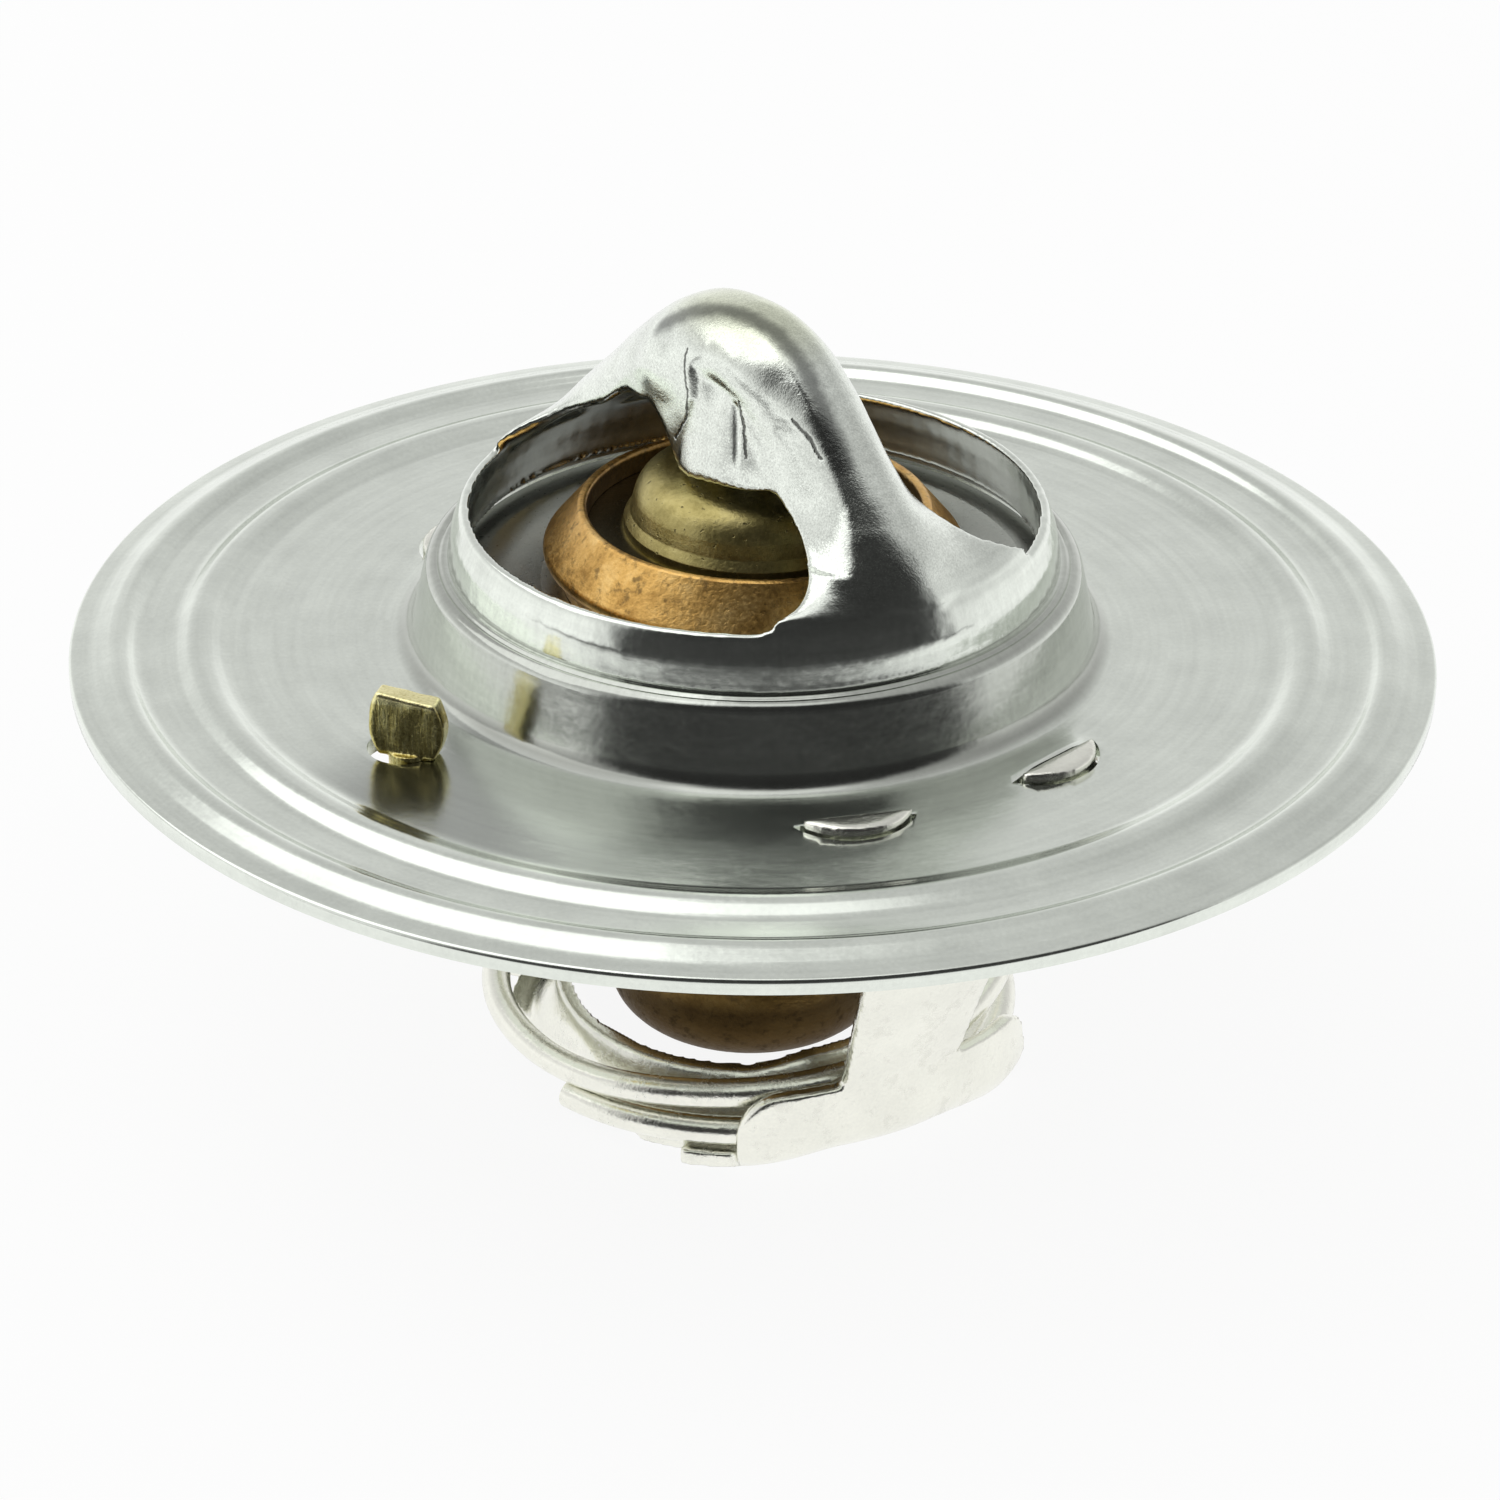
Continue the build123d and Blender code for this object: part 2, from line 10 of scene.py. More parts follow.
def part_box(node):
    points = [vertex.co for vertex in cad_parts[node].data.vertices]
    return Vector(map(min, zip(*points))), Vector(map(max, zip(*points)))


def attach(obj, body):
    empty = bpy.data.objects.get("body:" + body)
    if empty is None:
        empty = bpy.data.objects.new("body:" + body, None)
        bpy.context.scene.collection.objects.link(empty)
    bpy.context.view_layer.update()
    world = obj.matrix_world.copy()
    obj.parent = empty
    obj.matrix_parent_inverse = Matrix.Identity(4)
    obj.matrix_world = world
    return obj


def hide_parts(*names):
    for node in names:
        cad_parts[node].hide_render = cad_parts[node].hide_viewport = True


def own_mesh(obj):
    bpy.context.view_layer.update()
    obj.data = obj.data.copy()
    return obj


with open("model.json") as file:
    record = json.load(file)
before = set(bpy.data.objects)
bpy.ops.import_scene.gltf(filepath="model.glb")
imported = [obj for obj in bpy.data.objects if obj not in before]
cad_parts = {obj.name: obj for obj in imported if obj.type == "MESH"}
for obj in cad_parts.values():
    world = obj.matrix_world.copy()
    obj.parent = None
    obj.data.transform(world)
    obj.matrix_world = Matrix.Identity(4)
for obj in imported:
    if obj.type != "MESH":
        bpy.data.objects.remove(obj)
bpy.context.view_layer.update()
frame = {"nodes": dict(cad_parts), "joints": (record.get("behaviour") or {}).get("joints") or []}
nodes = frame["nodes"]
mm = 0.001
fullTurn = 2 * math.pi
middle = 0.5            # what a noise swings about
mergeReach = 0.001      # millimetres
noSharpEdges = 180
bridgeAzimuth = -55     # along the bridge


# shader helpers

class Signal:
    # a socket that takes part in Python sums
    def __init__(self, tree, socket):
        self.tree = tree
        self.socket = socket

    def math(self, operation, *others, swap=False, clamp=False):
        terms = [*others, self] if swap else [self, *others]
        settings = {"operation": operation, "use_clamp": clamp}
        return addNode(self.tree, "Math", settings, dict(enumerate(terms)))

    def __add__(self, other):
        return self.math("ADD", other)

    def __radd__(self, other):
        return self.math("ADD", other)

    def __sub__(self, other):
        return self.math("SUBTRACT", other)

    def __rsub__(self, other):
        return self.math("SUBTRACT", other, swap=True)

    def __mul__(self, other):
        return self.math("MULTIPLY", other)

    def __rmul__(self, other):
        return self.math("MULTIPLY", other)

    def __truediv__(self, other):
        return self.math("DIVIDE", other)

    def __rtruediv__(self, other):
        return self.math("DIVIDE", other, swap=True)

    def __pow__(self, other):
        return self.math("POWER", other)

    def __rpow__(self, other):
        return self.math("POWER", other, swap=True)


def addNode(tree, kind, settings=None, sockets=None, output=0):
    # adds a node, sets it up, then fills or links its sockets
    node = tree.nodes.new("ShaderNode" + kind)
    for name, value in (settings or {}).items():
        if name == "stops":
            ramp = node.color_ramp.elements
            while len(ramp) < len(value):
                ramp.new(0.5)
            for stop, (place, colour) in zip(ramp, value):
                stop.position = place
                stop.color = (*colour, 1.0) if hasattr(colour, "__len__") else (colour, colour, colour, 1.0)
        else:
            setattr(node, name, value)
    for name, value in (sockets or {}).items():
        if isinstance(value, Signal):
            tree.links.new(value.socket, node.inputs[name])
        else:
            node.inputs[name].default_value = value
    return Signal(tree, node.outputs[output])


def addReadings(tree, kind, outputs, sockets=None):
    # one node that is read at several outputs
    node = addNode(tree, kind, sockets=sockets).socket.node
    return [Signal(tree, node.outputs[name]) for name in outputs]


def softStep(value, low, high, start=0.0, end=1.0):
    return addNode(value.tree, "MapRange", {"interpolation_type": "SMOOTHSTEP"},
                   {"Value": value, "From Min": low, "From Max": high, "To Min": start, "To Max": end})


class Finish:
    # one procedural material, on object coordinates in millimetres
    def __init__(self, name, metallic):
        self.material = bpy.data.materials.new(name)
        self.material.use_nodes = True
        self.tree = self.material.node_tree
        self.shader = self.tree.nodes["Principled BSDF"]
        self.shader.inputs["Metallic"].default_value = metallic
        place = self.node("TexCoord", output="Object")
        self.place = self.node("VectorMath", {"operation": "SCALE"}, {0: place, "Scale": 1 / mm})
        self.x, self.y, self.z = addReadings(self.tree, "SeparateXYZ", range(3), {0: self.place})
        self.radius = (self.x * self.x + self.y * self.y) ** 0.5
        self.azimuth = self.y.math("ARCTAN2", self.x)
        self.bearing = self.azimuth * math.degrees(1)

    def node(self, kind, settings=None, sockets=None, output=0):
        return addNode(self.tree, kind, settings, sockets, output)

    def joined(self, x, y, z):
        return self.node("CombineXYZ", sockets={0: x, 1: y, 2: z})

    def noise(self, scale, detail, roughness, place=None):
        sockets = {"Vector": place or self.place, "Scale": scale, "Detail": detail, "Roughness": roughness}
        return self.node("TexNoise", sockets=sockets)

    def mask(self, bounds):
        # a product of soft bounds, each (measure, where it is nothing, where it is full)
        product = 1.0
        for measure, nothing, full in bounds:
            product = softStep(getattr(self, measure), nothing, full) * product
        return product

    def ramp(self, value, stops):
        return self.node("ValToRGB", {"stops": stops}, {0: value})

    def mix(self, factor, first, second, how="MIX"):
        first, second = (tint if isinstance(tint, Signal) else (*tint, 1.0) for tint in (first, second))
        return self.node("Mix", {"data_type": "RGBA", "blend_type": how},
                         {0: factor, 6: first, 7: second}, output=2)

    def tinted(self, tone, tint):
        grey = self.node("CombineColor", sockets={0: tone, 1: tone, 2: tone})
        return self.mix(1.0, grey, tint, "MULTIPLY")

    def paintStainOrShade(self, colour, mask, stainOrShade):
        # the stain or painted shade is (strength, colour)
        strength, stainOrShadeColour = stainOrShade
        return self.mix(mask * strength, colour, stainOrShadeColour)

    def finish(self, colour, roughness, bump, depth):
        # depth is the bump's, in millimetres
        normal = self.node("Bump", sockets={"Height": bump, "Distance": depth * mm, "Strength": 1.0})
        for socket, value in (("Base Color", colour), ("Roughness", roughness), ("Normal", normal)):
            self.tree.links.new(value.socket, self.shader.inputs[socket])
        return self.material


# mesh helpers

def meshObject(name, bm, material, smooth=True, sharpAngle=40):
    if smooth:
        limit = math.radians(sharpAngle)
        for edge in bm.edges:
            edge.smooth = len(edge.link_faces) != 2 or edge.calc_face_angle(0) < limit
    mesh = bpy.data.meshes.new(name)
    bm.to_mesh(mesh)
    bm.free()
    piece = bpy.data.objects.new(name, mesh)
    bpy.context.scene.collection.objects.link(piece)
    mesh.materials.append(material)
    for face in mesh.polygons:
        face.use_smooth = smooth
    return piece


def addModifier(piece, kind, **settings):
    modifier = piece.modifiers.new(kind.title(), kind)
    for name, value in settings.items():
        setattr(modifier, name, value)


def bakeModifiers(piece):
    # the finished mesh takes the place of the modifiers
    scene = bpy.context.evaluated_depsgraph_get()
    mesh = bpy.data.meshes.new_from_object(piece.evaluated_get(scene))
    piece.modifiers.clear()
    piece.data = mesh


def remeshed(bm, voxel):
    # one even skin over a closed solid
    piece = meshObject("skin", bm, None)
    addModifier(piece, "REMESH", mode="VOXEL", voxel_size=voxel * mm, use_smooth_shade=True)
    bakeModifiers(piece)
    bm = bmesh.new()
    bm.from_mesh(piece.data)
    bpy.data.objects.remove(piece)
    return bm


def mergeDoubles(bm):
    bmesh.ops.remove_doubles(bm, verts=bm.verts, dist=mergeReach * mm)


def nodeCopy(name):
    bm = bmesh.new()
    bm.from_mesh(nodes[name].data)
    mergeDoubles(bm)
    return bm


def everything(bm):
    return bm.verts[:] + bm.edges[:] + bm.faces[:]


def openEdges(bm):
    return [edge for edge in bm.edges if edge.is_boundary]


def smoothed(bm, verts, factor=0.5):
    bmesh.ops.smooth_vert(bm, verts=verts, factor=factor, use_axis_x=True, use_axis_y=True, use_axis_z=True)


def outline(bm, stations, cornerSteps):
    # stations are (radius, height, corner) in millimetres; corner is how far the rounding reaches
    points = [bm.verts.new((r * mm, 0, z * mm)) for r, z, corner in stations]
    for first, second in zip(points, points[1:]):
        bm.edges.new((first, second))
    for point, (r, z, corner) in zip(points, stations):
        if corner:
            bmesh.ops.bevel(bm, geom=[point], offset=corner * mm, offset_type="OFFSET",
                            segments=cornerSteps, affect="VERTICES", profile=0.5, material=-1)


def turnRound(bm, steps):
    bmesh.ops.spin(bm, geom=bm.verts[:] + bm.edges[:], cent=(0, 0, 0), axis=(0, 0, 1),
                   angle=fullTurn, steps=steps, use_merge=True)
    mergeDoubles(bm)
    bmesh.ops.recalc_face_normals(bm, faces=bm.faces)


def relax(bm, weights, rounds):
    # each point drifts to the middle of its neighbours, at most half the way each round
    bm.verts.index_update()
    places = np.array([vert.co for vert in bm.verts])
    pairs = np.array([(edge.verts[0].index, edge.verts[1].index) for edge in bm.edges])
    halfway = 0.5
    shares = np.array(weights)[:, None] * halfway
    starts = np.concatenate((pairs[:, 0], pairs[:, 1]))
    ends = np.concatenate((pairs[:, 1], pairs[:, 0]))
    count = np.maximum(np.bincount(starts, minlength=len(places)), 1)[:, None]
    for _ in range(rounds):
        sums = np.stack([np.bincount(starts, places[ends, axis], len(places)) for axis in range(3)], axis=1)
        places += (sums / count - places) * shares
    for vert, place in zip(bm.verts, places):
        vert.co = place


def clamped(value):
    return min(max(value, 0.0), 1.0)


def ease(value, low, high):
    share = clamped((value - low) / (high - low))
    return share * share * (3 - 2 * share)


def span(value, start, full, fading, end):
    # rises from start to full, and falls from fading to end
    return ease(value, start, full) * (1 - ease(value, fading, end))


def unevenness(bm, reach, depth, share):
    # rolling marks and hand wear: a slow wander of the surface along its own normal
    bm.normal_update()
    moves = [noise.noise(vert.co / (reach * mm)) * depth * mm * share(vert.co.z / mm) for vert in bm.verts]
    for vert, move in zip(bm.verts, moves):
        vert.co += vert.normal * move


# finishes: noises are (scale, detail, roughness), stains and painted shades are (strength, colour),
# and masks are lists of soft bounds, (measure, where it is nothing, where it is full)

strapCreases = {
    # the turn between the near side and the back, (along, across); a dark reflection is painted along it
    "turn": [(-3.6, -2.7), (-2.2, -2.0), (-0.7, -1.35), (0.6, -0.95), (2.6, -0.6), (4.5, -0.55),
             (6.5, -0.75), (8.4, -1.0)],
    "turnWidth": (0.75, 0.1),
    "turnAbove": (10.5, 12.0),
    "turnWander": 0.5,
    # hairlines on the near wall of the bridge, (along the bridge, height)
    "lines": [[(2.7, 13.2), (3.1, 12.0), (3.5, 10.8)],
              [(5.6, 13.2), (6.8, 12.6), (7.5, 12.0)], [(7.2, 12.9), (8.0, 12.5), (8.8, 12.1)],
              [(-0.9, 14.6), (-0.3, 12.8), (-0.4, 11.4), (-1.3, 10.1)]],
    "lineWidth": (0.11, 0.0275),
    "lineAside": (-1.2, -1.7),    # no lines on the crest or the back
    "lineWander": 0.45,
    "wander": (1.8, 3.0, 0.6),
}


def lineAway(x, z, lines):
    # how far a place is from the nearest of some bent lines
    nearest = None
    for line in lines:
        for (x0, z0), (x1, z1) in zip(line, line[1:]):
            dx, dz = x1 - x0, z1 - z0
            share = ((x - x0) * dx + (z - z0) * dz).math("MULTIPLY", 1 / (dx * dx + dz * dz), clamp=True)
            awayX, awayZ = x - x0 - share * dx, z - z0 - share * dz
            away = (awayX * awayX + awayZ * awayZ) ** 0.5
            nearest = away if nearest is None else nearest.math("MINIMUM", away)
    return nearest


def creaseMasks(finish):
    # hairlines where the sheet was folded on itself, with painted shade in them, and a painted dark
    # reflection along the turn towards the back
    look = strapCreases
    turn = math.radians(bridgeAzimuth)
    along = finish.x * math.cos(turn) + finish.y * math.sin(turn)
    aside = finish.y * math.cos(turn) - finish.x * math.sin(turn)
    wander = finish.noise(*look["wander"]) - middle
    folded = lineAway(along + wander * look["lineWander"], finish.z, look["lines"])
    hairlineAndPaintedShade = softStep(folded, *look["lineWidth"]) * softStep(aside, *look["lineAside"])
    turned = lineAway(along, aside + wander * look["turnWander"], [look["turn"]])
    paintedTurnShade = softStep(turned, *look["turnWidth"]) * softStep(finish.z, *look["turnAbove"])
    return hairlineAndPaintedShade, paintedTurnShade


drawnSteel = {
    "grain": (4.5, 4.0, 0.6),
    "speck": (11.0, 3.0, 0.6),
    "cloud": (0.30, 3.0, 0.55),
    "wave": (0.8, 2.0, 0.5),
    "turned": (1.6, 3.0, 0.5),      # rings round the axis
    "turnedScale": 1.4,             # how fine they are along the radius and the height
    "drawn": (1.0, 4.0, 0.65),      # marks that run down the neck
    "drawnScales": (42.0, 0.7),     # how fine they are round the neck and down it
    "strap": [("z", 6.2, 8.5)],     # the drawn strap has a coarse peened skin
    "neckSide": [("z", 0.3, 1.0), ("z", 7.0, 6.2)],
    "flat": [("z", 0.7, 0.3)],
    "wall": [("z", 0.1, 0.9), ("z", 3.75, 3.3), ("radius", 17.0, 16.4)],
    "neckTurn": [("radius", 15.2, 15.9), ("radius", 17.0, 16.3), ("z", 1.2, 0.6)],
    "step": [("radius", 14.1, 14.6), ("radius", 15.7, 15.2), ("z", 3.3, 3.6), ("z", 4.3, 4.0)],
    "tone": {"base": 0.84, "cloud": 0.24, "grain": 0.16, "strapGrain": 0.12, "turned": 0.20, "speck": 0.8,
             "drawn": 0.22},
    "tint": (0.955, 1.0, 0.925),
    # painted shade: how much darker the neck's turn, its step and its wall are painted, to dim their
    # reflections
    "paintedShade": {"neckTurn": 0.55, "step": 0.45, "wall": 0.40},
    "paintedShadeColour": (0.16, 0.16, 0.14),
    # painted shade: a darker sector of the flange in front, where it reflects the dark neck, uneven in
    # strength
    "paintedFrontShade": [("bearing", -150, -134), ("bearing", -90, -106), ("radius", 24.9, 24.1), ("z", 0.5, 0.2)],
    "paintedFrontShadeStrength": (0.50, 0.2),   # base, and how much the cloud adds
    "paintedFrontShadeColour": (0.20, 0.21, 0.20),
    "turnShadePaint": (0.72, (0.12, 0.125, 0.12)),
    "paintedCreaseShade": (0.85, (0.05, 0.05, 0.045)),
    "crest": (14.6, 16.4, 0.0, 0.8),
    "crestTint": (0.86, 0.86, 0.70),
    "roughness": {"base": 0.15, "flat": 0.04, "wall": 0.03, "grain": 0.08, "cloud": 0.06},
    "bump": {"wave": 2.2, "flatWave": -1.2, "grain": 0.2, "strapGrain": 0.3, "speck": 0.8, "turned": 0.25,
             "crease": -2.0},
    "bumpDepth": 0.010,
}


def steelFinish():
    look = drawnSteel
    finish = Finish("drawnSteel", metallic=1.0)
    grain, speck, cloud, wave = (finish.noise(*look[name]) for name in ("grain", "speck", "cloud", "wave"))
    fine = look["turnedScale"]
    rings = finish.joined(finish.radius * fine, finish.z * fine, finish.azimuth)
    turned = finish.noise(*look["turned"], place=rings)
    across, down = look["drawnScales"]
    streaks = finish.joined(finish.azimuth * across, finish.z * down, finish.radius * down)
    drawn = finish.noise(*look["drawn"], place=streaks)
    strap, neckSide, flat, wall = (finish.mask(look[name]) for name in ("strap", "neckSide", "flat", "wall"))
    hairlineAndPaintedShade, paintedTurnShade = creaseMasks(finish)

    part = look["tone"]
    tone = part["base"] + (cloud - middle) * part["cloud"] + (turned - middle) * part["turned"]
    tone = tone + (grain - middle) * (part["grain"] + strap * part["strapGrain"])
    tone = tone + (speck - middle) * strap * part["speck"] + (drawn - middle) * neckSide * part["drawn"]
    colour = finish.tinted(tone, look["tint"])
    least, cloudShare = look["paintedFrontShadeStrength"]
    # painted shade on the flange in front
    paintedFrontShade = finish.mask(look["paintedFrontShade"]) * (least + cloud * cloudShare)
    colour = finish.mix(paintedFrontShade, colour, look["paintedFrontShadeColour"])
    # painted shade on the neck's turn, step and wall
    paintedShade = 0.0
    for place, strength in look["paintedShade"].items():
        paintedShade = (finish.mask(look[place]) * strength).math("MAXIMUM", paintedShade)
    colour = finish.mix(paintedShade, colour, look["paintedShadeColour"])
    # painted dark reflection along the turn towards the back
    colour = finish.paintStainOrShade(colour, paintedTurnShade, look["turnShadePaint"])
    # painted shade in the folds' hairlines
    colour = finish.paintStainOrShade(colour, hairlineAndPaintedShade, look["paintedCreaseShade"])
    warmed = finish.mix(1.0, colour, look["crestTint"], "MULTIPLY")
    colour = finish.mix(softStep(finish.z, *look["crest"]), colour, warmed)

    part = look["roughness"]
    roughness = part["base"] + flat * part["flat"] + wall * part["wall"]
    roughness = roughness + (grain - middle) * part["grain"] + (cloud - middle) * part["cloud"]
    part = look["bump"]
    bump = wave * (part["wave"] + flat * part["flatWave"]) + turned * part["turned"]
    bump = bump + grain * (part["grain"] + strap * part["strapGrain"])
    bump = bump + speck * strap * part["speck"] + hairlineAndPaintedShade * part["crease"]
    return finish.finish(colour, roughness, bump, look["bumpDepth"])


nickelledSteel = {
    "grain": (7.0, 3.0, 0.6),
    "cloud": (0.45, 4.0, 0.6),
    "patch": (0.9, 5.0, 0.7),
    "patchEdges": (0.50, 0.66),
    "tone": {"base": 0.90, "cloud": 0.22, "grain": 0.12, "patch": -0.07},
    "tint": (1.0, 1.0, 0.91),
    "roughness": {"base": 0.20, "grain": 0.12, "patch": 0.10},
    "patchBump": 0.4,
    "bumpDepth": 0.012,
}


def brightFinish():
    look = nickelledSteel
    finish = Finish("nickelledSteel", metallic=1.0)
    grain, cloud = finish.noise(*look["grain"]), finish.noise(*look["cloud"])
    patch = softStep(finish.noise(*look["patch"]), *look["patchEdges"])
    part = look["tone"]
    tone = part["base"] + (cloud - middle) * part["cloud"] + (grain - middle) * part["grain"]
    tone = tone + patch * part["patch"]
    part = look["roughness"]
    roughness = part["base"] + (grain - middle) * part["grain"] + patch * part["patch"]
    return finish.finish(finish.tinted(tone, look["tint"]), roughness, grain + patch * look["patchBump"],
                         look["bumpDepth"])


tarnishedCopper = {
    "grain": (5.0, 4.0, 0.6),
    "cloud": (0.7, 4.0, 0.6),
    "grainShare": 0.5,      # of the colour's change
    "stops": [(0.25, (0.42, 0.235, 0.065)), (0.5, (0.74, 0.45, 0.14)), (0.75, (0.92, 0.62, 0.24))],
    "spots": (1.6, 5.0, 0.7),
    "spotEdges": (0.52, 0.68),
    "spotStain": (0.65, (0.16, 0.11, 0.05)),
    "belowFlange": [("z", 2.0, -2.0)],        # the cup is darker towards the bottom than its rolled lip
    "belowFlangeDarkening": (0.75, (0.11, 0.075, 0.03)),
    # painted shade on the cup's bottom, deep in the frame
    "under": [("z", -16.4, -17.6)],
    "paintedUnderShade": (0.8, (0.05, 0.03, 0.012)),
    # painted shade inside the copper ring, beside the gap under the dome
    "inside": [("radius", 8.0, 7.7), ("z", 4.0, 4.4)],
    "paintedInsideShade": (0.8, (0.10, 0.08, 0.06)),
    "roughness": {"base": 0.34, "grain": 0.3, "spots": 0.15, "under": 0.2},
    "bumpDepth": 0.025,
}


def copperFinish():
    look = tarnishedCopper
    finish = Finish("tarnishedCopper", metallic=1.0)
    grain, cloud = finish.noise(*look["grain"]), finish.noise(*look["cloud"])
    spots = softStep(finish.noise(*look["spots"]), *look["spotEdges"])
    under = finish.mask(look["under"])
    colour = finish.ramp(cloud + (grain - middle) * look["grainShare"], look["stops"])
    colour = finish.paintStainOrShade(colour, spots, look["spotStain"])
    colour = finish.paintStainOrShade(colour, finish.mask(look["belowFlange"]), look["belowFlangeDarkening"])
    # painted shade on the cup's bottom and inside the ring
    colour = finish.paintStainOrShade(colour, under, look["paintedUnderShade"])
    colour = finish.paintStainOrShade(colour, finish.mask(look["inside"]), look["paintedInsideShade"])
    part = look["roughness"]
    roughness = part["base"] + (grain - middle) * part["grain"]
    roughness = roughness + spots * part["spots"] + under * part["under"]
    return finish.finish(colour, roughness, grain, look["bumpDepth"])


oliveBrass = {
    "grain": (5.0, 4.0, 0.65),
    "cloud": (0.8, 3.0, 0.6),
    "grainShare": 0.5,
    "stops": [(0.25, (0.30, 0.25, 0.09)), (0.5, (0.46, 0.39, 0.155)), (0.78, (0.60, 0.52, 0.23))],
    "pits": (3.2, 2.0, 0.5),
    "pitEdges": (0.66, 0.74),
    "pitStain": (0.7, (0.08, 0.07, 0.03)),
    "gap": [("radius", 6.0, 6.3), ("z", 5.9, 5.5)],     # painted shade in the gap under the dome
    "paintedGapShade": (0.92, (0.02, 0.015, 0.01)),
    "roughness": {"base": 0.36, "grain": 0.25},
    "pitBump": -0.8,
    "bumpDepth": 0.022,
}


def brassFinish():
    look = oliveBrass
    finish = Finish("oliveBrass", metallic=1.0)
    grain, cloud = finish.noise(*look["grain"]), finish.noise(*look["cloud"])
    pits = softStep(finish.noise(*look["pits"]), *look["pitEdges"])
    colour = finish.ramp(cloud + (grain - middle) * look["grainShare"], look["stops"])
    colour = finish.paintStainOrShade(colour, pits, look["pitStain"])
    # painted shade in the gap under the dome
    colour = finish.paintStainOrShade(colour, finish.mask(look["gap"]), look["paintedGapShade"])
    part = look["roughness"]
    roughness = part["base"] + (grain - middle) * part["grain"]
    return finish.finish(colour, roughness, grain + pits * look["pitBump"], look["bumpDepth"])


peenedBrass = {
    "grain": (6.0, 4.0, 0.6),
    "grainShare": 0.5,
    "scratches": (4.0, 3.0, 0.6),
    "stretch": (2.2, 2.2, 0.18),        # the scratches run along the pin
    "paintedTopLight": (2.45, 2.75, 0.0, 0.3),   # painted light: the head's top is painted brighter
    "stops": [(0.3, (0.42, 0.34, 0.11)), (0.55, (0.74, 0.64, 0.27)), (0.8, (0.97, 0.90, 0.50))],
    "roughness": {"base": 0.24, "grain": 0.2},
    "bump": {"grain": 0.5, "scratches": 0.5},
    "bumpDepth": 0.03,
}


def pinFinish():
    look = peenedBrass
    finish = Finish("peenedBrass", metallic=1.0)
    grain = finish.noise(*look["grain"])
    along = finish.node("VectorMath", {"operation": "MULTIPLY"}, {0: finish.place, 1: look["stretch"]})
    scratches = finish.noise(*look["scratches"], place=along)
    # painted light on the head's top
    tone = (grain - middle) * look["grainShare"] + scratches + softStep(finish.z, *look["paintedTopLight"])
    part = look["roughness"]
    roughness = part["base"] + (grain - middle) * part["grain"]
    part = look["bump"]
    bump = grain * part["grain"] + scratches * part["scratches"]
    return finish.finish(finish.ramp(tone, look["stops"]), roughness, bump, look["bumpDepth"])


plain = {
    "grain": (5.0, 3.0, 0.6),
    "shades": (0.8, 1.1),       # darkest and palest share of the colour
    "roughnessChange": 0.15,
    "bumpDepth": 0.01,
    # node: (name, colour, roughness, metallic)
    "looks": {
        "valve_plate": ("plateSteel", (0.42, 0.42, 0.41), 0.3, 1.0),
        "piston_pin": ("groundSteel", (0.6, 0.6, 0.6), 0.25, 1.0),
        "rubber_sleeve": ("blackRubber", (0.03, 0.03, 0.03), 0.7, 0.0),
        "backup_washer": ("paleWasher", (0.75, 0.72, 0.62), 0.6, 0.0),
        "wax_charge": ("waxBlend", (0.7, 0.52, 0.3), 0.6, 0.0),
    },
}


def plainFinish(name, colour, roughness, metallic):
    finish = Finish(name, metallic)
    grain = finish.noise(*plain["grain"])
    dark, pale = (tuple(channel * shade for channel in colour) for shade in plain["shades"])
    colour = finish.mix(grain, dark, pale)
    roughness = roughness + (grain - middle) * plain["roughnessChange"]
    return finish.finish(colour, roughness, grain, plain["bumpDepth"])


steel = steelFinish()
bright = brightFinish()
pinBrass = pinFinish()
finishes = {
    "flange_and_bridge": steel,
    "lower_frame": bright,
    "main_spring": bright,
    "wax_cup": copperFinish(),
    "guide_cap": brassFinish(),
    "jiggle_pin": pinBrass,
}
for name, look in plain["looks"].items():
    finishes[name] = plainFinish(*look)
for name, material in finishes.items():
    nodes[name].data.materials.clear()
    nodes[name].data.materials.append(material)
print("finishes made")


# neck and bridge: the sheet as pressed and pinched

